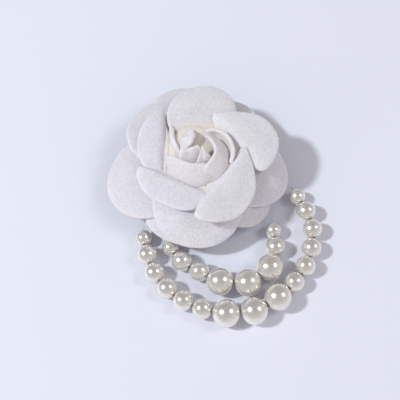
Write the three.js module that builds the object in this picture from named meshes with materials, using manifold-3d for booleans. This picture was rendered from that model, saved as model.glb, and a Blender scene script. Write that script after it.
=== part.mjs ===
// Fabric flower brooch with two nested pearl swags and a bar pin at its back.
// Millimetres. It lies face up on its back: +Z up, X along the pin bar, swags towards -Y.
// The origin is under the middle of the flower's outline, on the surface that it lies on.
import * as THREE from 'three';
import { mergeVertices } from 'three/addons/utils/BufferGeometryUtils.js';
import Module from 'manifold-3d';

const wasm = await Module();
wasm.setup();

// Clearances
const FIT_GAP = 0.3; // between pieces that seat on or turn in each other
const GLUE_FILM = 0.2; // glue between the pin bar, the felt and the core
const WELD = 1e-4; // points closer than this are one

// Bar pin
const BAR_LENGTH = 30;
const BAR_WIDTH = 5;
const BAR_THICKNESS = 0.8;
const BAR_Y = 6; // the pin sits above the middle, so that the flower doesn't tip forward
const BAR_HOLE_RADIUS = 0.9;
const BAR_HOLE_SPACING = 10;
const GARMENT_GAP = 4.4; // between the bar and the pin stem
const STEM_RADIUS = 0.45;
const STEM_POINT_LENGTH = 5;
const STEM_OVERHANG = 1.6; // of the point past the catch
const HINGE_INSET = 2; // hinge axis from the bar's end
const CATCH_INSET = 1.6; // catch's outer face from the bar's end
const EAR_THICKNESS = 0.8;
const EAR_WIDTH = 3.4;
const EAR_CORNER = 0.6;
const EYE_WIDTH = 1.6;
const EYE_RADIUS = 1.5;
const RIVET_RADIUS = 0.5;
const RIVET_HEAD_RADIUS = 1.1;
const RIVET_HEAD_THICKNESS = 0.5;
const CATCH_LENGTH = 3.6;
const CATCH_WALL = 0.6;
const CATCH_FLAT = 0.5; // depth of the flat under the catch, which it lies on
const BARREL_WALL = 0.5;
const TAB_LENGTH = 1;
const TAB_REACH = 1.5; // of the finger tab past the barrel
const TAB_THICKNESS = 1;

// Felt patch and core, whose axis the other sizes count from
const CORE_X = 1; // from the origin
const CORE_Y = -1.7;
const FELT_RADIUS = 16;
const FELT_THICKNESS = 1.5;
const CORE_RADIUS = 8.5;
const CORE_HEIGHT = 6.2;
const CORE_EDGE = 1;

// Petals
const PETAL_THICKNESS = 0.7;
const PETAL_BASE_SHARE = 0.4; // of the width, kept at the glued end
const PETAL_ROUNDNESS = 0.5; // 0.5 cuts an ellipse, and less a squarer outline
const PETAL_LIFT_START = 0.25; // share of the length over which the side lobes lift off
const PETAL_SPREAD = 0.5; // share of the length over which a petal widens and slides sideways
const LEVEL_STEP = 2.2; // height between the glued ends of two rings

// Bud
const BUD_X = 0.6;
const BUD_Y = -2;
const BUD_TUCK = 1.6; // of a bud petal's glued end, inside its body
const BUD_BULGE = 0.4; // of its foot, outside its body
const BUD_FOOT = 1.4; // height of that foot
const BUD_LEAN = 0.25; // share of the way to the rim's radius that its shoulder leans

// Pearls and line
const PEARL_END_RADIUS = 2.5;
const PEARL_SIDE_RADIUS = 3;
const PEARL_LOW_RADIUS = 4;
const PEARL_SPACE = 0.05;
const THREAD_STEP = 0.015; // by which a pearl moves on until it clears the last
const LINE_RADIUS = 0.2;
const BORE_RADIUS = 0.8;
const KNOT_RADIUS = 0.9;
const SWAG_AXIS_Y = -6; // both swags turn about the line through their knots
const KNOT_INSET = 2.2; // middle of the outer knots from the felt's edge
const KNOT_SPACING = 3.6; // between a long swag's knot and the short swag's beside it
const LONG_BARE_SHARE = 0.58; // of a line's bare length, before its first pearl
const SHORT_BARE_SHARE = 0.56;
const LINE_STEP = 1.3;

// Facets, as counts. Steps across and along are those of a petal.
const BAR_ARC_STEPS = 8;
const CATCH_ARC_STEPS = 10;
const FELT_ARC_STEPS = 18;
const CORE_SIDES = 24;
const RIVET_SIDES = 12;
const STEM_SIDES = 10;
const STEPS_ACROSS = 8;
const STEPS_ALONG = 7;
const PEARL_SIDES = 12;
const PEARL_RINGS = 6;
const LINE_SIDES = 6;
const LINE_FREE_POINTS = 4; // on the bare line between a knot and the first pearl
const KNOT_SIDES = 10;
const KNOT_RINGS = 6;
const ROUTE_DIVISIONS = 800; // that measure a swag's length

// Places that follow from the sizes above
const BARREL_BORE = STEM_RADIUS + FIT_GAP;
const BARREL_RADIUS = BARREL_BORE + BARREL_WALL;
const CATCH_BORE = BARREL_RADIUS + FIT_GAP;
const CATCH_RADIUS = CATCH_BORE + CATCH_WALL;
const STEM_Z = CATCH_RADIUS - CATCH_FLAT;
const BAR_Z = STEM_Z + STEM_RADIUS + GARMENT_GAP;
const FELT_Z = BAR_Z + BAR_THICKNESS + GLUE_FILM;
const CORE_Z = FELT_Z + FELT_THICKNESS + GLUE_FILM;
const BUD_Z = CORE_Z + CORE_HEIGHT + FIT_GAP;
const KNOT_Z = FELT_Z - LINE_RADIUS - FIT_GAP;
const HINGE_X = -BAR_LENGTH / 2 + HINGE_INSET;
const CATCH_X = BAR_LENGTH / 2 - CATCH_INSET - CATCH_LENGTH;
const LONG_KNOT_X = Math.sqrt((FELT_RADIUS - KNOT_INSET) ** 2 - SWAG_AXIS_Y ** 2);
const SHORT_KNOT_X = LONG_KNOT_X - KNOT_SPACING;

const FABRIC = { color: 0xf4f1ec, roughness: 0.9, metalness: 0 };
const FELT = { color: 0xf2efe9, roughness: 1, metalness: 0 };
const STEEL = { color: 0xc9c8c4, roughness: 0.3, metalness: 1 };
const PEARL = { color: 0xefe9da, roughness: 0.2, metalness: 0 };
const LINE = { color: 0xe8e8e6, roughness: 0.15, metalness: 0 };

const UP = new THREE.Vector3(0, 0, 1);

const brooch = new THREE.Group();

function addPiece(name, geometry, finish) {
  geometry.translate(CORE_X, CORE_Y, 0);
  const mesh = new THREE.Mesh(geometry, new THREE.MeshStandardMaterial(finish));
  mesh.name = name;
  brooch.add(mesh);
  return mesh;
}

// Joins and cuts

function toSolid(geometry) {
  const bare = geometry.index ? geometry.toNonIndexed() : geometry.clone();
  bare.deleteAttribute('normal');
  bare.deleteAttribute('uv');
  const welded = mergeVertices(bare, WELD);
  return new wasm.Manifold(new wasm.Mesh({
    numProp: 3,
    vertProperties: new Float32Array(welded.attributes.position.array),
    triVerts: new Uint32Array(welded.index.array),
  }));
}

function toGeometry(solid) {
  const mesh = solid.getMesh();
  const geometry = new THREE.BufferGeometry();
  geometry.setAttribute('position', new THREE.BufferAttribute(mesh.vertProperties, 3));
  geometry.setIndex(new THREE.BufferAttribute(mesh.triVerts, 1));
  return geometry;
}

function joined(...geometries) {
  return toGeometry(geometries.map(toSolid).reduce((sum, solid) => sum.add(solid)));
}

// Sections

function stadium(length, width) {
  const shape = new THREE.Shape();
  const half = length / 2 - width / 2;
  shape.absarc(half, 0, width / 2, -Math.PI / 2, Math.PI / 2, false);
  shape.absarc(-half, 0, width / 2, Math.PI / 2, Math.PI * 1.5, false);
  return shape;
}

function roundHole(x, y, radius) {
  const hole = new THREE.Path();
  hole.absarc(x, y, radius, 0, Math.PI * 2, true);
  return hole;
}

function extruded(shape, depth, curveSegments) {
  return new THREE.ExtrudeGeometry(shape, { depth, curveSegments, bevelEnabled: false });
}

// A horseshoe section, open downwards, with a flat at flatY where one is given
function horseshoe(bore, radius, mouth, flatY) {
  const shape = new THREE.Shape();
  const down = -Math.PI / 2;
  const inner = Math.asin(mouth / bore);
  const outer = flatY === undefined ? Math.asin(mouth / radius) : Math.acos(-flatY / radius);
  shape.absarc(0, 0, radius, down + outer, down + Math.PI * 2 - outer, false);
  if (flatY !== undefined) shape.lineTo(-mouth, flatY);
  shape.absarc(0, 0, bore, down + Math.PI * 2 - inner, down + inner, true);
  if (flatY !== undefined) shape.lineTo(mouth, flatY);
  shape.closePath();
  return shape;
}

// Bar pin: sections drawn in the YZ plane are turned to run along X, those in XZ along Y

function alongX(geometry, x, y, z) {
  return geometry.rotateX(Math.PI / 2).rotateZ(Math.PI / 2).translate(x, y, z);
}

function alongY(geometry, x, y, z) {
  return geometry.rotateX(Math.PI / 2).translate(x, y, z);
}

function pinBar() {
  const plate = stadium(BAR_LENGTH, BAR_WIDTH);
  for (const x of [-BAR_HOLE_SPACING / 2, BAR_HOLE_SPACING / 2]) {
    plate.holes.push(roundHole(x, 0, BAR_HOLE_RADIUS));
  }
  const pieces = [extruded(plate, BAR_THICKNESS, BAR_ARC_STEPS).translate(0, BAR_Y, BAR_Z)];

  const earHeight = BAR_Z + BAR_THICKNESS / 2 - STEM_Z;
  const earHalf = EAR_WIDTH / 2;
  const cornerX = earHalf - EAR_CORNER;
  const cornerY = EAR_CORNER - STEM_Z;
  const ear = new THREE.Shape();
  ear.moveTo(earHalf, earHeight);
  ear.lineTo(-earHalf, earHeight);
  ear.absarc(-cornerX, cornerY, EAR_CORNER, Math.PI, Math.PI * 1.5, false);
  ear.absarc(cornerX, cornerY, EAR_CORNER, Math.PI * 1.5, Math.PI * 2, false);
  ear.closePath();
  ear.holes.push(roundHole(0, 0, RIVET_RADIUS + FIT_GAP));
  const earOffset = EYE_WIDTH / 2 + FIT_GAP;
  for (const y of [BAR_Y - earOffset, BAR_Y + earOffset + EAR_THICKNESS]) {
    pieces.push(alongY(extruded(ear, EAR_THICKNESS, BAR_ARC_STEPS), HINGE_X, y, STEM_Z));
  }

  const mouth = STEM_RADIUS + FIT_GAP;
  const section = horseshoe(CATCH_BORE, CATCH_RADIUS, mouth, -STEM_Z);
  const housing = extruded(section, CATCH_LENGTH, CATCH_ARC_STEPS);
  pieces.push(alongX(housing, CATCH_X, BAR_Y, STEM_Z));
  const neckLow = STEM_Z + CATCH_BORE + CATCH_WALL / 2;
  const neckHeight = BAR_Z + BAR_THICKNESS / 2 - neckLow;
  const neck = new THREE.BoxGeometry(CATCH_LENGTH, CATCH_WALL * 2, neckHeight);
  pieces.push(neck.translate(CATCH_X + CATCH_LENGTH / 2, BAR_Y, neckLow + neckHeight / 2));
  addPiece('pin_bar', joined(...pieces), STEEL);
}

function hingeRivet() {
  const head = EYE_WIDTH / 2 + FIT_GAP + EAR_THICKNESS + FIT_GAP;
  const end = head + RIVET_HEAD_THICKNESS;
  const profile = [
    new THREE.Vector2(0, -end),
    new THREE.Vector2(RIVET_HEAD_RADIUS, -end),
    new THREE.Vector2(RIVET_HEAD_RADIUS, -head),
    new THREE.Vector2(RIVET_RADIUS, -head),
    new THREE.Vector2(RIVET_RADIUS, head),
    new THREE.Vector2(RIVET_HEAD_RADIUS, head),
    new THREE.Vector2(RIVET_HEAD_RADIUS, end),
    new THREE.Vector2(0, end),
  ];
  const rivet = new THREE.LatheGeometry(profile, RIVET_SIDES);
  addPiece('hinge_rivet', rivet.translate(HINGE_X, BAR_Y, STEM_Z), STEEL);
}

function pinStem() {
  const eye = new THREE.Shape();
  eye.absarc(0, 0, EYE_RADIUS, 0, Math.PI * 2, false);
  eye.holes.push(roundHole(0, 0, RIVET_RADIUS + FIT_GAP));
  const disc = extruded(eye, EYE_WIDTH, BAR_ARC_STEPS);
  const ring = alongY(disc, HINGE_X, BAR_Y + EYE_WIDTH / 2, STEM_Z);

  const start = (EYE_RADIUS + RIVET_RADIUS + FIT_GAP) / 2;
  const tip = CATCH_X + CATCH_LENGTH + TAB_LENGTH + STEM_OVERHANG - HINGE_X;
  const profile = [
    new THREE.Vector2(0, start),
    new THREE.Vector2(STEM_RADIUS, start),
    new THREE.Vector2(STEM_RADIUS, tip - STEM_POINT_LENGTH),
    new THREE.Vector2(STEM_RADIUS / 2, tip - STEM_POINT_LENGTH / 4),
    new THREE.Vector2(0, tip),
  ];
  const wire = new THREE.LatheGeometry(profile, STEM_SIDES).rotateZ(-Math.PI / 2);
  addPiece('pin_stem', joined(ring, wire.translate(HINGE_X, BAR_Y, STEM_Z)), STEEL);
}

function catchBarrel() {
  const length = CATCH_LENGTH + TAB_LENGTH + FIT_GAP;
  const section = horseshoe(BARREL_BORE, BARREL_RADIUS, BARREL_BORE);
  const tube = alongX(extruded(section, length, CATCH_ARC_STEPS), CATCH_X, BAR_Y, STEM_Z);
  const tab = new THREE.BoxGeometry(TAB_LENGTH, TAB_REACH + BARREL_WALL / 2, TAB_THICKNESS);
  const tabX = CATCH_X + length - TAB_LENGTH / 2;
  const tabY = BAR_Y + BARREL_RADIUS - BARREL_WALL / 2 + (TAB_REACH + BARREL_WALL / 2) / 2;
  addPiece('catch_barrel', joined(tube, tab.translate(tabX, tabY, STEM_Z)), STEEL);
}

// Felt patch, with a hole for each knot, and the stuffed core that carries the petals

function feltPatch() {
  const disc = new THREE.Shape();
  disc.absarc(0, 0, FELT_RADIUS, 0, Math.PI * 2, false);
  for (const x of [-LONG_KNOT_X, -SHORT_KNOT_X, SHORT_KNOT_X, LONG_KNOT_X]) {
    disc.holes.push(roundHole(x, SWAG_AXIS_Y, KNOT_RADIUS + FIT_GAP));
  }
  const patch = extruded(disc, FELT_THICKNESS, FELT_ARC_STEPS);
  addPiece('felt_patch', patch.translate(0, 0, FELT_Z), FELT);
}

function flowerCore() {
  const profile = [
    new THREE.Vector2(0, 0),
    new THREE.Vector2(CORE_RADIUS, 0),
    new THREE.Vector2(CORE_RADIUS, CORE_HEIGHT - CORE_EDGE),
    new THREE.Vector2(CORE_RADIUS - CORE_EDGE, CORE_HEIGHT),
    new THREE.Vector2(0, CORE_HEIGHT),
  ];
  const core = new THREE.LatheGeometry(profile, CORE_SIDES).rotateX(Math.PI / 2);
  addPiece('flower_core', core.translate(0, 0, CORE_Z), FABRIC);
}

// Petals: a rounded cut-out of cloth, laid on a profile that is swept round an axis.
// Each profile is a curve of radius and height. low and high lift the two side lobes,
// clockwise and anticlockwise, off it, so that each lies over or under its neighbour's:
// a ring petal's upwards, and a bud petal's inwards. swirl sets the high side further out
// and the low side further in, or the reverse below 0. wrap is how much of the sweep's bend
// a petal follows, from straight across at 0 to round the axis at 1. slide moves it sideways.

// A ring's profile leaves the core, passes over its rise and its shoulder, and ends at the tip.
// Heights count from the glued end. A petal's own values replace its ring's.
const RINGS = {
  back: { level: 0, rise: [13, 1.6], shoulder: 1.4, bend: 4 },
  outer: { level: 1, rise: [13.5, 2], shoulder: 1.2, bend: 5.5 },
  middle: { level: 2, rise: [13.6, -0.8], shoulder: 9.4, wrap: 0.1, spread: 0.9 },
};

const PETALS = {
  back: [
    { turn: 306, width: 24, reach: 25, tip: -6.4, low: 1.1, high: -0.6 },
    { turn: 90, width: 26, reach: 28.8, tip: -3.2, low: -1, high: -1, bend: 6.5 },
    { turn: 264, width: 16, reach: 22, tip: -10.15, low: 0.3, high: -0.8, bend: 0.5 },
  ],
  outer: [
    { turn: 119, width: 27, reach: 26.2, tip: -3.4, low: 0.9, high: 0.9 },
    { turn: 181, width: 31, reach: 28, tip: -7.4, low: -1, high: -1.3 },
    { turn: 254, width: 30, reach: 25.8, tip: -6, low: 1.2, high: 0.9, roundness: 0.38 },
    { turn: 336, width: 28, reach: 27.5, tip: -7.4, low: -0.9, high: -1.5 },
    { turn: 36, width: 28, reach: 25.4, tip: -3.4, low: 0.9, high: -0.9 },
  ],
  middle: [
    {
      turn: 162, width: 23, reach: 18, tip: 2, low: -1.2, high: -1.5, slide: -4.2,
      roundness: 0.36, rise: [12.8, -0.8], bend: 11.8,
    },
    {
      turn: 231, width: 22, reach: 18.5, tip: 1, low: 1.2, high: -1.2, slide: -3.4,
      roundness: 0.4, rise: [14.4, -0.8], bend: 11,
    },
    {
      turn: 305, width: 26, reach: 21.6, tip: -0.6, low: 0.6, high: 1.4, slide: -3.3,
      roundness: 0.43, swirl: -1, bend: 14.8,
    },
    {
      turn: 17, width: 24, reach: 23.5, tip: 1.2, low: -2.2, high: 0.9, slide: -4,
      roundness: 0.45, bend: 16.5,
    },
    {
      turn: 71, width: 23, reach: 23.4, tip: 1.9, low: -1.2, high: 1.2, swirl: -2,
      rise: [13.8, 1.7], shoulder: 4.6, bend: 4.5, wrap: 1, spread: 0.3,
    },
  ],
};

// Bud petals stand round the bud's middle, or round an axis set off from it by x and y.
// They lean in or out from their body's radius to their rim's.
const BUD_PETALS = [
  {
    turn: 180, width: 13, radius: 14, rim: 14.2, top: 4.7, shoulder: 2,
    roundness: 0.4, x: 6.4, y: 6.2,
  },
  {
    turn: 19, width: 15.6, radius: 9, rim: 9.4, top: 5, shoulder: 2,
    low: 0.4, high: 0.9,
  },
  {
    turn: 228, width: 22, radius: 10.2, rim: 3.9, top: 5.6, shoulder: 1,
    low: -0.4, high: 0.8, swirl: -1,
  },
  {
    turn: 348, width: 19, radius: 7.2, rim: 3.8, top: 6.3, shoulder: 2.2,
    low: 0.8, high: 0.2, swirl: 1.3,
  },
  {
    turn: 270, width: 9.2, radius: 13.3, rim: 8.3, top: 6, shoulder: 2.6,
    roundness: 0.12, x: -3.2, y: 10.3,
  },
  {
    turn: 145, width: 11, radius: 7.4, rim: 2.4, top: 6.9, shoulder: 2.2,
    roundness: 0.3, x: 0.8, y: 2.7,
  },
  {
    turn: 272, width: 6.6, radius: 6.2, rim: 0.9, top: 6.8, shoulder: 2.4,
    x: 2.7, y: 4.7,
  },
];

function ringProfile(petal) {
  const { level, rise, shoulder, bend, reach, tip } = petal;
  const base = CORE_Z + FIT_GAP + PETAL_THICKNESS + level * LEVEL_STEP;
  return new THREE.CubicBezierCurve(
    new THREE.Vector2(CORE_RADIUS + FIT_GAP, base),
    new THREE.Vector2(rise[0], base + rise[1]),
    new THREE.Vector2(reach - bend, base + shoulder),
    new THREE.Vector2(reach, base + tip),
  );
}

function budProfile(petal) {
  const { radius, rim, top, shoulder } = petal;
  const lean = THREE.MathUtils.lerp(radius, rim, BUD_LEAN);
  return new THREE.CubicBezierCurve(
    new THREE.Vector2(radius - BUD_TUCK, BUD_Z + PETAL_THICKNESS / 2),
    new THREE.Vector2(radius + BUD_BULGE, BUD_Z + BUD_FOOT),
    new THREE.Vector2(lean, BUD_Z + top - shoulder),
    new THREE.Vector2(rim, BUD_Z + top),
  );
}

// A point of the cloth's middle: a and b run from -1 to 1 across and along the cut-out
function petalPoint(petal, profile, a, b) {
  const { width, roundness = PETAL_ROUNDNESS, spread = PETAL_SPREAD } = petal;
  const { low = 0, high = 0, swirl = 0, slide = 0, wrap = 1 } = petal;
  const along = 0.5 + 0.5 * b * Math.sqrt(1 - roundness * a * a);
  const side = a * Math.sqrt(1 - roundness * b * b);
  const widening = THREE.MathUtils.smoothstep(along, 0, spread);
  const halfWidth = THREE.MathUtils.lerp(PETAL_BASE_SHARE, 1, widening) * width / 2;
  const spot = profile.getPoint(along);
  const lifting = THREE.MathUtils.smoothstep(along, 0, PETAL_LIFT_START);
  const lift = lifting * side * ((high - low) + side * (high + low)) / 2;
  const upright = petal.radius !== undefined;
  const radius = spot.x - (upright ? lift : 0) + swirl * side * along;
  const height = spot.y + (upright ? 0 : lift);
  const angle = wrap * side * halfWidth / (petal.radius ?? spot.x);
  const out = radius - radius * (1 - Math.cos(angle)) / wrap;
  const across = radius * Math.sin(angle) / wrap + slide * widening;
  const turn = THREE.MathUtils.degToRad(petal.turn);
  return new THREE.Vector3(out, across, height).applyAxisAngle(UP, turn);
}

function petalGeometry(petal, profile) {
  const step = 1e-3; // of a and b, between the points that give the cloth's slope
  const inner = 1 - step;
  const under = [];
  const over = [];
  for (let j = 0; j <= STEPS_ALONG; j += 1) {
    for (let i = 0; i <= STEPS_ACROSS; i += 1) {
      const a = 2 * i / STEPS_ACROSS - 1;
      const b = 2 * j / STEPS_ALONG - 1;
      const middle = petalPoint(petal, profile, a, b);
      const across = petalPoint(petal, profile, a * inner + step, b * inner)
        .sub(petalPoint(petal, profile, a * inner - step, b * inner));
      const along = petalPoint(petal, profile, a * inner, b * inner + step)
        .sub(petalPoint(petal, profile, a * inner, b * inner - step));
      const normal = across.cross(along).setLength(PETAL_THICKNESS / 2);
      under.push(middle.clone().sub(normal));
      over.push(middle.clone().add(normal));
    }
  }
  const row = STEPS_ACROSS + 1;
  const layer = row * (STEPS_ALONG + 1);
  const index = [];
  const quad = (p, q, r, s) => index.push(p, q, r, p, r, s);
  for (let j = 0; j < STEPS_ALONG; j += 1) {
    for (let i = 0; i < STEPS_ACROSS; i += 1) {
      const p = j * row + i;
      quad(p, p + row, p + row + 1, p + 1);
      quad(layer + p, layer + p + 1, layer + p + row + 1, layer + p + row);
    }
  }
  const edge = [];
  for (let i = 0; i < STEPS_ACROSS; i += 1) edge.push(i);
  for (let j = 0; j < STEPS_ALONG; j += 1) edge.push(j * row + STEPS_ACROSS);
  for (let i = STEPS_ACROSS; i > 0; i -= 1) edge.push(STEPS_ALONG * row + i);
  for (let j = STEPS_ALONG; j > 0; j -= 1) edge.push(j * row);
  edge.forEach((p, k) => {
    const q = edge[(k + 1) % edge.length];
    quad(p, q, layer + q, layer + p);
  });
  const geometry = new THREE.BufferGeometry();
  geometry.setFromPoints([...under, ...over]);
  geometry.setIndex(index);
  return geometry;
}

function petals() {
  for (const [ringName, ringPetals] of Object.entries(PETALS)) {
    ringPetals.forEach((petal, i) => {
      const full = { ...RINGS[ringName], ...petal };
      const geometry = petalGeometry(full, ringProfile(full));
      addPiece(`${ringName}_petal_${i + 1}`, geometry, FABRIC);
    });
  }
  BUD_PETALS.forEach((petal, i) => {
    const { x = 0, y = 0 } = petal;
    const geometry = petalGeometry(petal, budProfile(petal));
    addPiece(`bud_petal_${i + 1}`, geometry.translate(BUD_X + x, BUD_Y + y, 0), FABRIC);
  });
}

// Swags: a route from knot to knot. Its middle points lie on the surface below.
const LONG_ROUTE = [
  [LONG_KNOT_X, SWAG_AXIS_Y, KNOT_Z],
  [19.5, -6.6, 6.2],
  [23.5, -8.8, 4.4],
  [26.3, -12.2, 3],
  [27.4, -16.4, 2.5],
  [28, -27.2, 3],
  [22.4, -37.6, 3],
  [11.2, -44.8, 4],
  [3, -46.8, 4],
  [-5.2, -45, 4],
  [-15.6, -37.6, 3],
  [-21.1, -27.8, 3],
  [-21.6, -16.4, 2.5],
  [-20.5, -12.4, 3],
  [-18.4, -9, 4.8],
  [-16.4, -7, 6.4],
  [-LONG_KNOT_X, SWAG_AXIS_Y, KNOT_Z],
];
const SHORT_ROUTE = [
  [SHORT_KNOT_X, SWAG_AXIS_Y, KNOT_Z],
  [12.4, -8, 6.4],
  [15, -12, 4.6],
  [17.1, -17, 3],
  [16.8, -23.4, 2.5],
  [15.6, -29.4, 3],
  [11.8, -35.6, 4],
  [3.8, -38.2, 4],
  [-4, -35.4, 4],
  [-9, -30, 3],
  [-13, -25.4, 3],
  [-14.8, -19.4, 2.5],
  [-14.6, -15.4, 3],
  [-13.4, -11, 4.8],
  [-11.8, -7.8, 6.4],
  [-SHORT_KNOT_X, SWAG_AXIS_Y, KNOT_Z],
];
const LONG_PEARLS = [
  PEARL_END_RADIUS, ...Array(5).fill(PEARL_SIDE_RADIUS), ...Array(3).fill(PEARL_LOW_RADIUS),
  ...Array(5).fill(PEARL_SIDE_RADIUS), PEARL_END_RADIUS,
];
const SHORT_PEARLS = [
  PEARL_END_RADIUS, PEARL_SIDE_RADIUS, ...Array(3).fill(PEARL_LOW_RADIUS),
  PEARL_SIDE_RADIUS, PEARL_SIDE_RADIUS, PEARL_END_RADIUS,
];

function pearlGeometry(radius) {
  const rim = Math.asin(BORE_RADIUS / radius);
  const profile = [];
  for (let i = 0; i <= PEARL_RINGS; i += 1) {
    const angle = THREE.MathUtils.lerp(rim, Math.PI - rim, i / PEARL_RINGS);
    profile.push(new THREE.Vector2(radius * Math.sin(angle), -radius * Math.cos(angle)));
  }
  profile.push(profile[0].clone());
  return new THREE.LatheGeometry(profile, PEARL_SIDES);
}

// Pearls follow each other along the route, each one space from the last.
// share is how much of the bare line lies before the first.
function pearlSpots(route, radii, share) {
  const total = route.getLength();
  const spotAt = (run, i) => route.getPointAt(run / total).setZ(radii[i]);
  const threadFrom = (start) => {
    const runs = [start];
    for (let i = 1; i < radii.length; i += 1) {
      const last = spotAt(runs[i - 1], i - 1);
      const apart = radii[i - 1] + radii[i] + PEARL_SPACE;
      let run = runs[i - 1] + apart;
      while (spotAt(run, i).distanceTo(last) < apart) run += THREAD_STEP;
      runs.push(run);
    }
    return runs;
  };
  const runs = threadFrom((total - threadFrom(0).at(-1)) * share);
  return { runs, spots: runs.map(spotAt) };
}

function swag(name, points, radii, share) {
  const bends = points.map((p) => new THREE.Vector3(...p));
  const route = new THREE.CatmullRomCurve3(bends, false, 'centripetal');
  route.arcLengthDivisions = ROUTE_DIVISIONS;
  const total = route.getLength();
  const { runs, spots } = pearlSpots(route, radii, share);
  const up = new THREE.Vector3(0, 1, 0);
  const mouths = spots.map((spot, i) => {
    const before = spots[Math.max(i - 1, 0)];
    const after = spots[Math.min(i + 1, spots.length - 1)];
    const run = after.clone().sub(before).normalize();
    const pearl = pearlGeometry(radii[i]);
    pearl.applyQuaternion(new THREE.Quaternion().setFromUnitVectors(up, run));
    addPiece(`${name}_pearl_${i + 1}`, pearl.translate(...spot), PEARL);
    return [-1, 1].map((way) => spot.clone().addScaledVector(run, way * radii[i]));
  });

  const line = [];
  const bareStart = (runs[0] - radii[0]) / total;
  const bareEnd = (runs.at(-1) + radii.at(-1)) / total;
  for (let i = 0; i < LINE_FREE_POINTS; i += 1) {
    line.push(route.getPointAt(bareStart * i / LINE_FREE_POINTS));
  }
  line.push(mouths[0][0]);
  spots.forEach((spot, i) => {
    const out = mouths[i][1];
    const next = mouths[i + 1] ? mouths[i + 1][0] : out;
    line.push(spot, out.clone().lerp(next, 0.5));
  });
  for (let i = 1; i <= LINE_FREE_POINTS; i += 1) {
    line.push(route.getPointAt(THREE.MathUtils.lerp(bareEnd, 1, i / LINE_FREE_POINTS)));
  }

  const path = new THREE.CatmullRomCurve3(line, false, 'centripetal');
  const section = new THREE.Shape();
  section.absarc(0, 0, LINE_RADIUS, 0, Math.PI * 2, false);
  const tube = new THREE.ExtrudeGeometry(section, {
    steps: Math.round(total / LINE_STEP),
    extrudePath: path,
    curveSegments: LINE_SIDES / 2,
  });
  const knots = [line[0], line.at(-1)].map((end) => (
    new THREE.SphereGeometry(KNOT_RADIUS, KNOT_SIDES, KNOT_RINGS).translate(...end)
  ));
  addPiece(`${name}_line`, joined(tube, ...knots), LINE);
}

pinBar();
hingeRivet();
pinStem();
catchBarrel();
feltPatch();
flowerCore();
petals();
swag('long_swag', LONG_ROUTE, LONG_PEARLS, LONG_BARE_SHARE);
swag('short_swag', SHORT_ROUTE, SHORT_PEARLS, SHORT_BARE_SHARE);

export default brooch;
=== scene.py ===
# Fabric flower brooch: pressed cloth petals round a folded bud, two pearl swags and a bar pin.
import math

import bmesh
import bpy
import numpy as np
from bpy.props import FloatProperty, FloatVectorProperty, IntProperty, PointerProperty
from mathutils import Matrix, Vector


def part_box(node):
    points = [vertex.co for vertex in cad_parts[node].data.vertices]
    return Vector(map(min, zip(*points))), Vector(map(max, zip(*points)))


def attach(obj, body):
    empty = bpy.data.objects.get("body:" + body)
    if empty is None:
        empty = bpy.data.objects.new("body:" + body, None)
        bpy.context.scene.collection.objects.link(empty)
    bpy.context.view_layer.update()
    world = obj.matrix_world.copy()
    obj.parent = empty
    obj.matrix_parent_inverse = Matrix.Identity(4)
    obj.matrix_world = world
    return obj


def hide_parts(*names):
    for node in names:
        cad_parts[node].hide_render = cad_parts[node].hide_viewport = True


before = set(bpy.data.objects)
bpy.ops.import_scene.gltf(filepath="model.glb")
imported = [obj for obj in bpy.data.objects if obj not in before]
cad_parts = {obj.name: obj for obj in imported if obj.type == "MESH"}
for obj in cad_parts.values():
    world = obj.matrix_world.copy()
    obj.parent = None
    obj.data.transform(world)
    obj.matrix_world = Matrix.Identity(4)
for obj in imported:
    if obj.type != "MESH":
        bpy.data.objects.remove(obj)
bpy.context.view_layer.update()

bl_info = {
    "name": "Fabric Flower Brooch",
    "version": (1, 0, 0),
    "blender": (4, 5, 0),
    "location": "3D View > Sidebar > Brooch",
    "description": "Dresses a flower brooch in cloth, pearl, line and steel",
    "category": "Add Mesh",
}

# Sizes of the brooch in millimetres, and the shares that shape its petals
MM = 0.001
CORE_X = 1.0
CORE_Y = -1.7
CORE_Z = 9.2
CORE_RADIUS = 8.5
CORE_HEIGHT = 6.2
CORE_CROWN = 4.0
CROWN_X = -1.1
CROWN_Y = 1.9
FIT_GAP = 0.3
FELT_Z = 7.5
FELT_RADIUS = 16.0
FELT_THICKNESS = 1.5
SOLID_CLOTH = 0.7
LEVEL_STEP = 2.2
PETAL_BASE_SHARE = 0.4
PETAL_ROUNDNESS = 0.5
PETAL_LIFT_START = 0.25
PETAL_SPREAD = 0.5
EDGE_CURL = 1.1
BUD_X = 0.6
BUD_Y = -2.0
BUD_Z = 15.7
BUD_TUCK = 1.6
BUD_BULGE = 0.4
BUD_FOOT = 1.4
BUD_LEAN = 0.25
KNOT_Z = 7.0
KNOT_REACH = 0.9
KNOT_Y = -6.0
LONG_KNOT_X = 12.43
SHORT_KNOT_X = 8.83
FELT_EDGE = 0.3
FELT_WAVE = 0.006
SMALLEST_CUT = 10.0

# How pale the painted highlight along a petal's edge is, how far it reaches in, and how dark the hollows of
# the grain are
EDGE_HIGHLIGHT = 0.6
EDGE_REACH = 1.1
GRAIN_SHADE = 0.15

# Ripples over a petal: height, waves across and along, and how they shift from petal to petal
RIPPLE = 0.1
RIPPLE_WAVES = (7, 6)
RIPPLE_SHIFT = (1.7, 2.3)

# Shares of a petal's length: where its middle is, where the curl is full, and where the painted warm shade
# ends
HALFWAY = 0.5
CURL_FULL = 0.6
WARM_SHADE_END = 0.32

# Reach of a petal's thick rim, the share of it that scales the rim, and the points of a measured line
RIM_FADE = 0.9
RIM_STEP = 0.04
MEASURE_STEPS = 41

# Number of the first bud petal, from which its ripples shift
FIRST_BUD_NUMBER = 20

# Mesh steps of the core, felt, knots and pearls
CORE_ROWS = 14
CORE_SIDES = 64
FELT_STEPS = 96
HOLE_STEPS = 24
KNOT_STEPS = 96
KNOT_SIDES = 8
PEARL_ROWS = 32
PEARL_SIDES = 64

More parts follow.
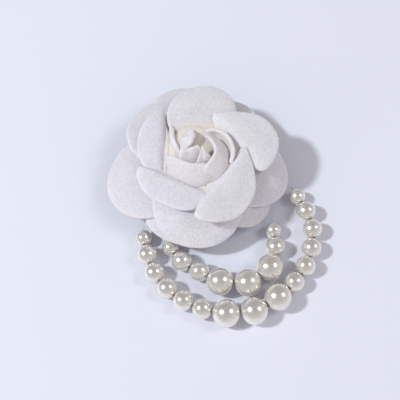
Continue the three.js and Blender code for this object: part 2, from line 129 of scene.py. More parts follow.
# Shares that shape the core's pleats and swell, the felt's hand-cut edge, the knots and the pearls' lips
CORE_PLEATS = 9
PLEAT_DEPTH = 0.02
CORE_FLATNESS = 0.5
CORE_SQUARENESS = 0.45
FELT_WAVES = 7
KNOT_FLATNESS = 0.45
BARE_REACH = 1.25
LIP_SHARE = 0.35
LIP_DROP = 0.2

# Edges of the bar pin sharper than this are rounded and shaded as edges
SHARP_ANGLE = math.radians(40)

# Camera, floor and lamps: places in millimetres, then directions and colours
CAMERA_AIM = (-0.49, -9.15, 0)
CAMERA_EYE = (-26.6, -100.2, 212.9)
SENSOR_WIDTH = 36
FLOOR_REACH = 2000
FLOOR_DROP = 0.1
LAMP_AIM = (0, -10, 5)
LAMP_DISTANCE = 1200
KEY_LAMP = dict(direction=(-0.65, 0.13, 0.75), size=120, colour=(0.9, 0.96, 1.0))
SECOND_LAMP = dict(direction=(0.63, -0.12, 0.76), size=400, colour=(0.9, 0.95, 1.0))
SKY_SOFT = ((1.4, 1.32, 1.33), (0.7, 0.66, 0.67))
SKY_GLOSS = ((1.05, 1.03, 1.0), (0.38, 0.37, 0.37))
LOW_LEFT = (-0.93, -0.1, 0.35)
LOW_LEFT_FOCUS = 3.0
FRONT_RIGHT = (0.6, -0.8, 0)

# Rings of points from a petal's middle to its rim, and round the rim
BODY_RINGS = 18
RIM_RINGS = 5

# Rings of petals: level, rise, shoulder and bend of the profile that each petal lies on
RINGS = {
    "back": dict(level=0, rise=(13, 1.6), shoulder=1.4, bend=4),
    "outer": dict(level=1, rise=(13.5, 2), shoulder=1.2, bend=5.5),
    "middle": dict(level=2, foot=8.2, step=2.4, rise=(13.6, 1.2), shoulder=6.8, wrap=0.1, spread=0.9,
                   base=0.75),
}

# Petals: turn in degrees, width and reach, lift of the tip and of the low and high side lobes, and how the
# cut-out slides, swirls, wraps, spreads from its base and rounds off; pale gives a petal a painted highlight
# all over, and warm gives it painted warm shade
RING_PETALS = {
    "back": [
        dict(turn=306, width=24, reach=25, tip=-6.4, low=1.1, high=-0.6),
        dict(turn=90, width=26, reach=28.8, tip=-3.2, low=-1, high=-1, bend=6.5),
        dict(turn=243, width=30, reach=25, tip=-4.4, low=-1.2, high=-0.8, roundness=0.35, bend=3),
    ],
    "outer": [
        dict(turn=119, width=27, reach=26.2, tip=-3.4, low=0.9, high=0.9),
        dict(turn=181, width=31, reach=28, tip=-7.4, low=-1, high=-1.3),
        dict(turn=254, width=30, reach=25.8, tip=-6, low=1.2, high=0.9, roundness=0.38, pale=0.3),
        dict(turn=336, width=28, reach=27.5, tip=-7.4, low=-0.9, high=-1.5),
        dict(turn=36, width=28, reach=25.4, tip=-3.4, low=0.9, high=-0.9),
    ],
    "middle": [
        dict(turn=162, width=25.4, reach=18, tip=2, low=-1.2, high=-1.5, slide=-3.2, roundness=0.43,
             rise=(12.8, 2.2), bend=10.4, step=3.2),
        dict(turn=231, width=24, reach=18.5, tip=1, low=1.2, high=-0.6, slide=-2.5, roundness=0.34,
             rise=(14.4, 1.2), bend=11),
        dict(turn=305, width=27.4, reach=21.4, tip=-0.4, low=0.6, high=1.4, slide=-3.4, swirl=-1,
             roundness=0.43, bend=14.6, foot=7.6, pale=0.4),
        dict(turn=17, width=24, reach=24, tip=1.2, low=-2.2, high=0.9, slide=-4.7, roundness=0.45,
             rise=(13.6, 1.8), bend=16.7, step=2.9, pale=0.6),
        dict(turn=71, width=22.6, reach=23.1, tip=1.9, low=-1.2, high=1.2, swirl=-2, rise=(13.8, 1.7),
             shoulder=4.6, bend=4.5, wrap=1, spread=0.3, foot=6.5, step=3.4, base=0.9, roundness=0.45,
             pale=0.3),
    ],
}
# In the bud, warm lays painted warm shade and pale lays a painted highlight over the whole petal
BUD_PETALS = [
    dict(turn=180, width=13, radius=14, rim=12.8, top=4.7, shoulder=2, roundness=0.4, x=6.4, y=6.2,
         warm=0.2),
    dict(turn=19, width=15.6, radius=9, rim=9.4, top=5, shoulder=2, low=0.4, high=0.9, warm=0.4),
    dict(turn=226, width=22, radius=10.2, rim=4.2, top=5.4, shoulder=1, low=-0.4, high=1.9, swirl=-1,
         roundness=0.42, tuck=0.4, drop=1.4, warm=0.15),
    dict(turn=339, width=25.6, radius=8.2, rim=3.5, top=6.1, shoulder=2.2, low=-0.6, high=0.9, swirl=1.1,
         roundness=0.38, tuck=0.2, drop=1.8, warm=0.25, pale=0.3),
    dict(turn=270, width=9.2, radius=13.3, rim=8.3, top=6, shoulder=2.6, roundness=0.12, x=-3.2, y=10.3,
         warm=0.3),
    dict(turn=145, width=11, radius=7.4, rim=2.4, top=6.9, shoulder=2.2, roundness=0.3, x=0.8, y=2.7,
         pale=0.6),
    dict(turn=268, width=7, radius=6.2, rim=0.6, top=7.1, shoulder=2.4, x=0.4, y=1.8, warm=0.3),
]

# Routes of the two lines, from knot to knot
LONG_ROUTE = [
    (LONG_KNOT_X, KNOT_Y, KNOT_Z),
    (19.5, -6.6, 6.2),
    (23.5, -8.8, 4.4),
    (26.3, -12.2, 3),
    (27.4, -16.4, 2.5),
    (28, -27.2, 3),
    (22.4, -37.6, 3),
    (11.2, -44.8, 4),
    (3, -46.8, 4),
    (-5.2, -45, 4),
    (-15.6, -37.6, 3),
    (-21.1, -27.8, 3),
    (-21.6, -16.4, 2.5),
    (-20.5, -12.4, 3),
    (-18.4, -9, 4.8),
    (-16.4, -7, 6.4),
    (-LONG_KNOT_X, KNOT_Y, KNOT_Z),
]
SHORT_ROUTE = [
    (SHORT_KNOT_X, KNOT_Y, KNOT_Z),
    (12.4, -8, 6.4),
    (15, -12, 4.6),
    (17.1, -17, 3),
    (16.8, -23.4, 2.5),
    (15.6, -29.4, 3),
    (11.8, -35.6, 4),
    (3.8, -38.2, 4),
    (-4, -35.4, 4),
    (-9, -30, 3),
    (-13, -25.4, 3),
    (-14.8, -19.4, 2.5),
    (-14.6, -15.4, 3),
    (-13.4, -11, 4.8),
    (-11.8, -7.8, 6.4),
    (-SHORT_KNOT_X, KNOT_Y, KNOT_Z),
]
LONG_SIZES = ["end"] + ["side"] * 5 + ["low"] * 3 + ["side"] * 5 + ["end"]
SHORT_SIZES = ["end", "side"] + ["low"] * 3 + ["side"] * 2 + ["end"]
SWAGS = {
    "long_swag": dict(route=LONG_ROUTE, sizes=LONG_SIZES, length=0.126),
    "short_swag": dict(route=SHORT_ROUTE, sizes=SHORT_SIZES, length=0.088),
}


# Settings that a user would change


class BroochCloth(bpy.types.PropertyGroup):
    colour: FloatVectorProperty(
        name="Cloth", description="Colour of the petals", subtype="COLOR",
        default=(0.82, 0.795, 0.84), min=0, max=1)
    # Painted highlight: a paler colour along the edges of a petal and over whole pale petals
    highlight_colour: FloatVectorProperty(
        name="Edges", description="Colour along the edges of a petal, where the nap is worn pale",
        subtype="COLOR", default=(0.96, 0.94, 0.98), min=0, max=1)
    # Painted warm shade, towards the glued ends of the petals, over warm bud petals and over the whole core
    warm_shade_colour: FloatVectorProperty(
        name="Folds", description="Colour deep between the petals", subtype="COLOR",
        default=(0.92, 0.83, 0.76), min=0, max=1)
    thickness: FloatProperty(
        name="Thickness", description="Thickness of a petal", subtype="DISTANCE", unit="LENGTH",
        default=0.00095, min=0.0002, max=0.002)
    rim: FloatProperty(
        name="Rim", description="How much thicker a petal is just inside its rim", subtype="FACTOR",
        default=0.3, min=0, max=1)
    grain: FloatProperty(
        name="Grain", description="Size of the crepe's crinkles", subtype="DISTANCE", unit="LENGTH",
        default=0.0005, min=0.0001, max=0.003)
    felt_colour: FloatVectorProperty(
        name="Felt", description="Colour of the felt patch", subtype="COLOR",
        default=(0.84, 0.82, 0.78), min=0, max=1)
    spokes: IntProperty(
        name="Spokes", description="Points round a petal's rim", default=112, min=24, max=256)


class BroochPearls(bpy.types.PropertyGroup):
    colour: FloatVectorProperty(
        name="Pearl", description="Colour of the pearls", subtype="COLOR",
        default=(0.92, 0.88, 0.79), min=0, max=1)
    blush: FloatVectorProperty(
        name="Blush", description="Second tone of the pearls' lustre", subtype="COLOR",
        default=(0.9, 0.85, 0.83), min=0, max=1)
    end: FloatProperty(
        name="End", description="Radius of the pearls at a swag's ends", unit="LENGTH",
        default=0.0025, min=0.001, max=0.01)
    side: FloatProperty(
        name="Side", description="Radius of the pearls at a swag's sides", unit="LENGTH",
        default=0.003, min=0.001, max=0.01)
    low: FloatProperty(
        name="Low", description="Radius of a swag's lowest pearls", unit="LENGTH",
        default=0.004, min=0.001, max=0.01)
    bore: FloatProperty(
        name="Bore", description="Radius of the hole through a pearl", unit="LENGTH",
        default=0.00055, min=0.0003, max=0.001)


class BroochLine(bpy.types.PropertyGroup):
    colour: FloatVectorProperty(
        name="Line", description="Colour of the clear line", subtype="COLOR",
        default=(0.96, 0.96, 0.94), min=0, max=1)
    radius: FloatProperty(
        name="Radius", description="Radius of the clear line", unit="LENGTH",
        default=0.0002, min=0.00015, max=0.001)


class BroochPin(bpy.types.PropertyGroup):
    colour: FloatVectorProperty(
        name="Steel", description="Colour of the bar pin", subtype="COLOR",
        default=(0.66, 0.65, 0.63), min=0, max=1)
    edge: FloatProperty(
        name="Edge", description="Rounding of the bar pin's edges", unit="LENGTH",
        default=0.00012, min=0, max=0.0004)


class BroochStage(bpy.types.PropertyGroup):
    floor: FloatVectorProperty(
        name="Floor", description="Colour of the floor", subtype="COLOR",
        default=(0.8, 0.81, 0.9), min=0, max=1)
    key: FloatProperty(
        name="Key", description="Power of the lamp at the left", unit="POWER",
        default=9.0, min=0, max=50)
    second: FloatProperty(
        name="Second", description="Power of the lamp at the right", unit="POWER",
        default=2.6, min=0, max=50)
    sky: FloatProperty(
        name="Sky", description="Strength of the soft light all round", default=0.39, min=0, max=2)
    front: FloatProperty(
        name="Front", description="How much brighter the soft light is from the front right",
        subtype="FACTOR", default=0.6, min=0, max=1)
    left: FloatProperty(
        name="Left", description="How much brighter the soft light is low at the left",
        default=1.5, min=0, max=5)
    lens: FloatProperty(
        name="Lens", description="Focal length of the camera in millimetres",
        default=67.5, min=10, max=300)


class BroochSettings(bpy.types.PropertyGroup):
    cloth: PointerProperty(type=BroochCloth)
    pearls: PointerProperty(type=BroochPearls)
    line: PointerProperty(type=BroochLine)
    pin: PointerProperty(type=BroochPin)
    stage: PointerProperty(type=BroochStage)


# Small helpers


def put(name, data):
    """Links a new object for the data and returns it."""
    obj = bpy.data.objects.new(name, data)
    bpy.context.scene.collection.objects.link(obj)
    return obj


def smooth_mesh(name, points, faces):
    """A mesh from points and faces, shaded smooth."""
    mesh = bpy.data.meshes.new(name)
    mesh.from_pydata([tuple(p) for p in points], [], faces)
    mesh.update()
    mesh.shade_smooth()
    return mesh


def paint(mesh, name, values):
    """Stores a value for each point of a mesh, which its material reads by name."""
    layer = mesh.attributes.new(name, "FLOAT", "POINT")
    layer.data.foreach_set("value", values.astype(np.float32))


def smoothstep(x, top):
    """Eases from 0 at 0 to 1 at top."""
    t = np.clip(x / top, 0, 1)
    return t * t * (3 - 2 * t)


def core_point(p):
    """A point counted from the core's axis, in metres in the frame."""
    return Vector(((p[0] + CORE_X) * MM, (p[1] + CORE_Y) * MM, p[2] * MM))


def spin(points, sides):
    """Revolves a closed profile of (radius, height) about Z into points and faces."""
    ring = len(points)
    spots = []
    faces = []
    for k in range(sides):
        turn = 2 * math.pi * k / sides
        spots += [(r * math.cos(turn), r * math.sin(turn), z) for r, z in points]
        n = (k + 1) % sides
        for i in range(ring):
            j = (i + 1) % ring
            faces.append((k * ring + i, n * ring + i, n * ring + j, k * ring + j))
    return spots, faces


# Node helpers


class Tree:
    """Adds and joins the nodes of one material or group."""

    def __init__(self, tree):
        self.tree = tree

    def add(self, kind, **values):
        node = self.tree.nodes.new(kind)
        for name, value in values.items():
            setattr(node, name, value)
        return node

    def join(self, source, target):
        self.tree.links.new(source, target)

    def fill(self, socket, value):
        if isinstance(value, bpy.types.NodeSocket):
            self.join(value, socket)
        else:
            socket.default_value = value

    def math(self, operation, a, b=0.0):
        node = self.add("ShaderNodeMath", operation=operation)
        self.fill(node.inputs[0], a)
        self.fill(node.inputs[1], b)
        return node.outputs[0]

    def mix(self, factor, a, b):
        node = self.add("ShaderNodeMix", data_type="RGBA")
        self.fill(node.inputs["Factor"], factor)
        self.fill(node.inputs[6], a)
        self.fill(node.inputs[7], b)
        return node.outputs[2]

    def spread(self, value, low, high, to_low, to_high):
        node = self.add("ShaderNodeMapRange")
        self.fill(node.inputs["Value"], value)
        for name, number in zip(("From Min", "From Max", "To Min", "To Max"), (low, high, to_low, to_high)):
            node.inputs[name].default_value = number
        return node.outputs["Result"]

    def noise(self, vector, scale, detail=2.0, roughness=0.5, distortion=0.0):
        node = self.add("ShaderNodeTexNoise")
        self.join(vector, node.inputs["Vector"])
        self.fill(node.inputs["Scale"], scale)
        node.inputs["Detail"].default_value = detail
        node.inputs["Roughness"].default_value = roughness
        node.inputs["Distortion"].default_value = distortion
        return node.outputs["Fac"]

    def bump(self, height, strength, distance):
        node = self.add("ShaderNodeBump")
        self.join(height, node.inputs["Height"])
        node.inputs["Strength"].default_value = strength
        node.inputs["Distance"].default_value = distance
        return node.outputs["Normal"]


def group(name, inputs, outputs):
    """A new shader node group with named sockets, its tree, and its two end nodes."""
    made = bpy.data.node_groups.new(name, "ShaderNodeTree")
    for label, kind in inputs:
        made.interface.new_socket(label, in_out="INPUT", socket_type=kind)
    for label, kind in outputs:
        made.interface.new_socket(label, in_out="OUTPUT", socket_type=kind)
    tree = Tree(made)
    return made, tree, tree.add("NodeGroupInput"), tree.add("NodeGroupOutput")


def crepe_group():
    """Crinkled crepe over a plain weave: a height for the bump, and a tone from 0 to 1."""
    if "Crepe" in bpy.data.node_groups:
        return bpy.data.node_groups["Crepe"]
    made, t, given, out = group(
        "Crepe",
        [("Vector", "NodeSocketVector"), ("Grains", "NodeSocketFloat"), ("Threads", "NodeSocketFloat")],
        [("Height", "NodeSocketFloat"), ("Tone", "NodeSocketFloat")])
    vector = given.outputs["Vector"]
    crinkle = t.noise(vector, given.outputs["Grains"], detail=3.0, roughness=0.62, distortion=0.8)
    pebble = t.add("ShaderNodeTexVoronoi", feature="SMOOTH_F1")
    t.join(vector, pebble.inputs["Vector"])
    t.join(given.outputs["Grains"], pebble.inputs["Scale"])
    slub = t.noise(vector, t.math("MULTIPLY", given.outputs["Grains"], 0.16), detail=2.0)
    weave = []
    for direction in ("X", "Y"):
        wave = t.add("ShaderNodeTexWave", wave_type="BANDS", bands_direction=direction)
        t.join(vector, wave.inputs["Vector"])
        t.join(given.outputs["Threads"], wave.inputs["Scale"])
        wave.inputs["Distortion"].default_value = 1.4
        wave.inputs["Detail"].default_value = 1.0
        weave.append(wave.outputs["Fac"])
    threads = t.math("MULTIPLY", weave[0], weave[1])
    bumps = t.math("ADD", crinkle, t.math("MULTIPLY", pebble.outputs["Distance"], 0.35))
    height = t.math("ADD", bumps, t.math("MULTIPLY", threads, 0.12))
    t.join(height, out.inputs["Height"])
    tone = t.math("ADD", t.math("MULTIPLY", crinkle, 0.95), t.math("MULTIPLY", slub, 0.15))
    t.join(t.spread(tone, 0.43, 0.67, 0.0, 1.0), out.inputs["Tone"])
    return made


def marks_group():
    """Fine handling marks: a mask from 0 to 1 that drifts over a hard, glossy piece."""
    if "Handling marks" in bpy.data.node_groups:
        return bpy.data.node_groups["Handling marks"]
    made, t, given, out = group(
        "Handling marks",
        [("Vector", "NodeSocketVector"), ("Scale", "NodeSocketFloat")],
        [("Mask", "NodeSocketFloat"), ("Fine", "NodeSocketFloat")])
    vector = given.outputs["Vector"]
    broad = t.noise(vector, given.outputs["Scale"], detail=3.0, roughness=0.6)
    fine = t.noise(vector, t.math("MULTIPLY", given.outputs["Scale"], 9.0), detail=2.0, roughness=0.7)
    t.join(t.spread(broad, 0.3, 0.7, 0.0, 1.0), out.inputs["Mask"])
    t.join(fine, out.inputs["Fine"])
    return made


def material(name):
    """A new material, its tree, its Principled shader, and coordinates in millimetres."""
    made = bpy.data.materials.new(name)
    made.use_nodes = True
    t = Tree(made.node_tree)
    shader = made.node_tree.nodes["Principled BSDF"]
    place = t.add("ShaderNodeTexCoord")
    scale = t.add("ShaderNodeVectorMath", operation="SCALE")
    t.join(place.outputs["Object"], scale.inputs[0])
    scale.inputs["Scale"].default_value = 1 / MM
    return made, t, shader, scale.outputs[0]


def use_group(t, made, vector, **values):
    """Places a node group with its own values, and returns its outputs."""
    node = t.add("ShaderNodeGroup")
    node.node_tree = made
    t.join(vector, node.inputs["Vector"])
    for name, value in values.items():
        node.inputs[name].default_value = value
    return node.outputs


def rgba(colour):
    return (colour[0], colour[1], colour[2], 1.0)


def cloth_material(settings):
    """Pressed crepe with a soft sheen, painted warm shade towards the glued end of a petal, and a painted
    highlight along its edges.
    """
    if "Petal crepe" in bpy.data.materials:
        return bpy.data.materials["Petal crepe"]
    made, t, shader, spot = material("Petal crepe")
    grains = MM / settings.grain
    crepe = use_group(t, crepe_group(), spot, Grains=grains, Threads=grains * 1.6)
    # Painted warm shade towards the glued ends, and a painted highlight along the edges and over pale petals
    warm_shade_mask = t.add("ShaderNodeAttribute", attribute_name="warm_shade")
    highlit = t.add("ShaderNodeAttribute", attribute_name="highlit")
    highlit_cloth = t.mix(highlit.outputs["Fac"], rgba(settings.colour), rgba(settings.highlight_colour))
    pale = t.mix(t.spread(crepe["Tone"], 0, 1, GRAIN_SHADE, 0), highlit_cloth, rgba((0, 0, 0)))
    t.join(t.mix(warm_shade_mask.outputs["Fac"], pale, rgba(settings.warm_shade_colour)), shader.inputs["Base Color"])
    t.join(t.spread(crepe["Tone"], 0, 1, 0.96, 0.86), shader.inputs["Roughness"])
    t.join(t.bump(crepe["Height"], 0.8, 0.0003), shader.inputs["Normal"])
    shader.inputs["Subsurface Weight"].default_value = 0.25
    shader.inputs["Subsurface Radius"].default_value = (1.0, 0.85, 0.72)
    shader.inputs["Subsurface Scale"].default_value = 0.0015
    shader.inputs["Sheen Weight"].default_value = 0.12
    shader.inputs["Sheen Roughness"].default_value = 0.5
    shader.inputs["Specular IOR Level"].default_value = 0.25
    return made


def felt_material(settings):
    """Pressed felt: matted fibres in soft clumps."""
    made, t, shader, spot = material("Backing felt")
    crepe = use_group(t, crepe_group(), spot, Grains=1.3, Threads=2.6)
    fibres = t.noise(spot, 5.0, detail=4.0, roughness=0.75, distortion=2.5)
    shade = t.math("MULTIPLY", crepe["Tone"], fibres)
    dark = rgba([c * 0.8 for c in settings.felt_colour])
    colour = t.mix(t.spread(shade, 0.1, 0.6, 0, 1), dark, rgba(settings.felt_colour))
    t.join(colour, shader.inputs["Base Color"])
    t.join(t.bump(fibres, 0.7, 0.0003), shader.inputs["Normal"])
    shader.inputs["Roughness"].default_value = 1.0
    shader.inputs["Sheen Weight"].default_value = 0.3
    return made


def pearl_material(settings):
    """Lacquered pearl: a lustrous layer under a clear, nearly sharp coat."""
    if "Pearl lacquer" in bpy.data.materials:
        return bpy.data.materials["Pearl lacquer"]
    made, t, shader, spot = material("Pearl lacquer")
    marks = use_group(t, marks_group(), spot, Scale=0.55)
    t.join(t.mix(marks["Mask"], rgba(settings.colour), rgba(settings.blush)), shader.inputs["Base Color"])
    t.join(t.spread(marks["Fine"], 0.2, 0.8, 0.2, 0.3), shader.inputs["Roughness"])
    shader.inputs["Metallic"].default_value = 0.66
    shader.inputs["Subsurface Weight"].default_value = 0.3
    shader.inputs["Subsurface Radius"].default_value = (1.0, 0.8, 0.6)
    shader.inputs["Subsurface Scale"].default_value = 0.001
    shader.inputs["Coat Weight"].default_value = 1.0
    shader.inputs["Coat Roughness"].default_value = 0.08
    return made


def line_material(settings):
    """Clear nylon line, a little cloudy."""
    made, t, shader, spot = material("Clear line")
    marks = use_group(t, marks_group(), spot, Scale=2.0)
    t.join(t.spread(marks["Fine"], 0.2, 0.8, 0.08, 0.22), shader.inputs["Roughness"])
    shader.inputs["Base Color"].default_value = rgba(settings.colour)
    shader.inputs["Transmission Weight"].default_value = 0.8
    shader.inputs["IOR"].default_value = 1.53
    return made


def steel_material(settings):
    """Nickel plated steel with faint drawing lines and handling marks."""
    made, t, shader, spot = material("Pin steel")
    marks = use_group(t, marks_group(), spot, Scale=0.4)
    stretch = t.add("ShaderNodeVectorMath", operation="MULTIPLY")
    t.join(spot, stretch.inputs[0])
    stretch.inputs[1].default_value = (0.3, 8.0, 8.0)
    lines = t.noise(stretch.outputs[0], 1.2, detail=3.0, roughness=0.6)
    dull = rgba([c * 0.82 for c in settings.colour])
    t.join(t.mix(marks["Mask"], dull, rgba(settings.colour)), shader.inputs["Base Color"])
    t.join(t.spread(lines, 0.25, 0.75, 0.22, 0.4), shader.inputs["Roughness"])
    t.join(t.bump(lines, 0.15, 0.00003), shader.inputs["Normal"])
    shader.inputs["Metallic"].default_value = 1.0
    return made


# Cloth petals


def bezier(points, t):
    """Places on a cubic profile of (radius, height)."""
    p = np.array(points, float)
    s = 1 - t
    return (p[0] * (s ** 3)[..., None] + p[1] * (3 * s * s * t)[..., None]
            + p[2] * (3 * s * t * t)[..., None] + p[3] * (t ** 3)[..., None])


def ring_profile(petal):
    """Cubic profile of a ring petal from its foot on the core to its tip."""
    base = CORE_Z + FIT_GAP + SOLID_CLOTH + petal["level"] * LEVEL_STEP
    return [
        (petal.get("foot", CORE_RADIUS + FIT_GAP), base + petal.get("step", 0)),
        (petal["rise"][0], base + petal["rise"][1]),
        (petal["reach"] - petal["bend"], base + petal["shoulder"]),
        (petal["reach"], base + petal["tip"]),
    ]


def bud_profile(petal):
    """Cubic profile of a bud petal from its tucked foot up to its rim."""
    lean = petal["radius"] + (petal["rim"] - petal["radius"]) * BUD_LEAN
    return [
        (petal["radius"] - petal.get("tuck", BUD_TUCK), BUD_Z + SOLID_CLOTH / 2 - petal.get("drop", 0)),
        (petal["radius"] + BUD_BULGE, BUD_Z + BUD_FOOT),
        (lean, BUD_Z + petal["top"] - petal["shoulder"]),
        (petal["rim"], BUD_Z + petal["top"]),
    ]


def cloth_point(petal, profile, side, along):
    """Points of a petal's middle: side runs from -1 to 1 across it, and along from 0 to 1 to its tip."""
    low, high = petal.get("low", 0), petal.get("high", 0)
    widening = smoothstep(along, petal.get("spread", PETAL_SPREAD))
    narrow = petal.get("base", PETAL_BASE_SHARE)
    share = narrow + (1 - narrow) * widening
    spot = bezier(profile, along)
    lift = smoothstep(along, PETAL_LIFT_START) * side * ((high - low) + side * (high + low)) / 2
    upright = "radius" in petal
    radius = spot[..., 0] - lift * upright + petal.get("swirl", 0) * side * along
    height = spot[..., 1] + lift * (not upright)
    wrap = petal.get("wrap", 1)
    angle = wrap * side * share * petal["width"] / 2 / petal.get("radius", spot[..., 0])
    out = radius - radius * (1 - np.cos(angle)) / wrap
    across = radius * np.sin(angle) / wrap + petal.get("slide", 0) * widening
    turn = math.radians(petal["turn"])
    x = out * math.cos(turn) - across * math.sin(turn)
    y = out * math.sin(turn) + across * math.cos(turn)
    return np.stack([x, y, height], axis=-1)


def cloth_normal(petal, profile, side, along):
    """Unit normals of a petal's middle, from small steps each way."""
    step = 1e-3
    inner = along * (1 - 2 * step) + step
    right, left = (cloth_point(petal, profile, side + move, inner) for move in (step, -step))
    after, before = (cloth_point(petal, profile, side, inner + move) for move in (step, -step))
    normal = np.cross(right - left, after - before)
    return normal / np.linalg.norm(normal, axis=-1, keepdims=True)


def cut_out(petal, turn):
    """Reach of a petal's rounded outline from its middle, in each direction."""
    roundness = petal.get("roundness", PETAL_ROUNDNESS)
    corner = 1 / math.sqrt(0.5 + 0.5 * roundness / (1 - roundness))
    power = 1 / (0.5 - math.log2(corner))
    return (abs(np.cos(turn)) ** power + abs(np.sin(turn)) ** power) ** (-1 / power)


def make_petal(name, petal, profile, offset, settings, number):
    """A petal with a rounded rim, laid on its profile. Returns it, its flat size and its area."""
    spokes = settings.spokes
    turn = 2 * np.pi * np.arange(spokes) / spokes
    reach = cut_out(petal, turn)
    out_side, out_along = reach * np.cos(turn), reach * np.sin(turn) / 2
    inner = 1 - RIM_STEP
    near = cloth_point(petal, profile, out_side * inner, HALFWAY + out_along * inner)
    rim = cloth_point(petal, profile, out_side, HALFWAY + out_along)
    scale = np.linalg.norm(rim - near, axis=-1) / RIM_STEP
    thick = settings.thickness / MM / 2
    fat = thick * (1 + settings.rim)
    body = 1 - fat / scale
    rings = [body * k / BODY_RINGS for k in range(1, BODY_RINGS + 1)]
    heights = [np.ones(spokes)] * BODY_RINGS
    for k in range(1, RIM_RINGS + 1):
        bend = math.pi / 2 * (1 - k / RIM_RINGS)
        rings.append(1 - fat / scale * (1 - math.cos(bend)))
        heights.append(np.full(spokes, math.sin(bend)))
    grow = np.array(rings)
    side, along = grow * out_side, HALFWAY + grow * out_along
    middle = cloth_point(petal, profile, side, along)
    normal = cloth_normal(petal, profile, side, along)
    inside = (1 - grow) * scale
    swell = 1 + settings.rim * np.exp(-((inside - fat) / RIM_FADE) ** 2)
    across_wave = np.sin(side * RIPPLE_WAVES[0] + number * RIPPLE_SHIFT[0])
    along_wave = np.sin(along * RIPPLE_WAVES[1] + number * RIPPLE_SHIFT[1])
    ripple = RIPPLE * across_wave * along_wave * smoothstep(along, HALFWAY)
    if "radius" not in petal:
        ripple = ripple + EDGE_CURL * side ** 2 * grow ** 3 * smoothstep(along, CURL_FULL)
    half = thick * swell * np.array(heights)
    over = middle + normal * (half + ripple)[..., None]
    under = middle - normal * (half - ripple)[..., None]
    heart_side, heart_along = np.zeros(1), np.full(1, HALFWAY)
    heart = cloth_point(petal, profile, heart_side, heart_along)
    heart_up = cloth_normal(petal, profile, heart_side, heart_along)
    count = len(rings)
    points = [heart[0] + heart_up[0] * thick, *over.reshape(-1, 3)]
    low_start = len(points)
    points += [heart[0] - heart_up[0] * thick, *under[:-1].reshape(-1, 3)]

    def top(k, j):
        return 1 + k * spokes + j % spokes

    def low(k, j):
        return top(k, j) if k == count - 1 else low_start + top(k, j)

    faces = []
    for j in range(spokes):
        faces.append((0, top(0, j), top(0, j + 1)))
        faces.append((low_start, low(0, j + 1), low(0, j)))
        for k in range(count - 1):
            faces.append((top(k, j), top(k + 1, j), top(k + 1, j + 1), top(k, j + 1)))
            faces.append((low(k, j), low(k, j + 1), low(k + 1, j + 1), low(k + 1, j)))
    shift = np.array([CORE_X + offset[0], CORE_Y + offset[1], 0])
    mesh = smooth_mesh(name, (np.array(points) + shift) * MM, faces)
    reached = np.concatenate([heart_along, along.ravel(), heart_along, along[:-1].ravel()])
    # Painted warm shade towards the glued end and over warm petals; painted highlight inside the rim and
    # over pale petals
    warm_shade = 1 - smoothstep(reached, WARM_SHADE_END)
    edge_light = EDGE_HIGHLIGHT * np.exp(-(inside / EDGE_REACH) ** 2) * smoothstep(along, HALFWAY)
    edge_light = np.concatenate([heart_side, edge_light.ravel(), heart_side, edge_light[:-1].ravel()])
    paint(mesh, "warm_shade", np.maximum(warm_shade, petal.get("warm", 0)))
    paint(mesh, "highlit", np.maximum(edge_light, petal.get("pale", 0)))
    petal_obj = put(name, mesh)
    mesh.materials.append(cloth_material(settings))
    line = np.linspace(0, 1, MEASURE_STEPS)
    still = np.full(MEASURE_STEPS, HALFWAY)
    across = cloth_point(petal, profile, line * 2 - 1, still)
    onward = cloth_point(petal, profile, still * 0, line)
    width, length = (np.linalg.norm(np.diff(row, axis=0), axis=1).sum() for row in (across, onward))
    flat = tuple(max(float(x), SMALLEST_CUT) * MM for x in (width, length))
    area = sum(p.area for p in mesh.polygons) / 2
    return petal_obj, flat, area


def dress_petal(piece, node):
    """Sets a petal in place of its solid, as a sheet of cloth."""
    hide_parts(node)
    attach(piece, "flower")


class BROOCH_OT_ring_petals(bpy.types.Operator):
    """Lays the back, outer and middle rings of petals round the core"""
    bl_idname = "brooch.ring_petals"
    bl_label = "Ring petals"

    def execute(self, context):
        settings = context.scene.brooch.cloth
        number = 0
        for ring, petals in RING_PETALS.items():
            for i, own in enumerate(petals):
                number += 1
                node = f"{ring}_petal_{i + 1}"
                petal = {**RINGS[ring], **own}
                profile = ring_profile(petal)
                piece, flat, area = make_petal(node + "_cloth", petal, profile, (0, 0), settings, number)
                dress_petal(piece, node)
        return {"FINISHED"}


class BROOCH_OT_bud_petals(bpy.types.Operator):
    """Stands the folded petals of the bud in the middle of the flower"""
    bl_idname = "brooch.bud_petals"
    bl_label = "Bud petals"

    def execute(self, context):
        settings = context.scene.brooch.cloth
        for i, petal in enumerate(BUD_PETALS):
            node = f"bud_petal_{i + 1}"
            offset = (BUD_X + petal.get("x", 0), BUD_Y + petal.get("y", 0))
            profile = bud_profile(petal)
            number = i + FIRST_BUD_NUMBER
            piece, flat, area = make_petal(node + "_cloth", petal, profile, offset, settings, number)
            dress_petal(piece, node)
        return {"FINISHED"}


# Core and felt


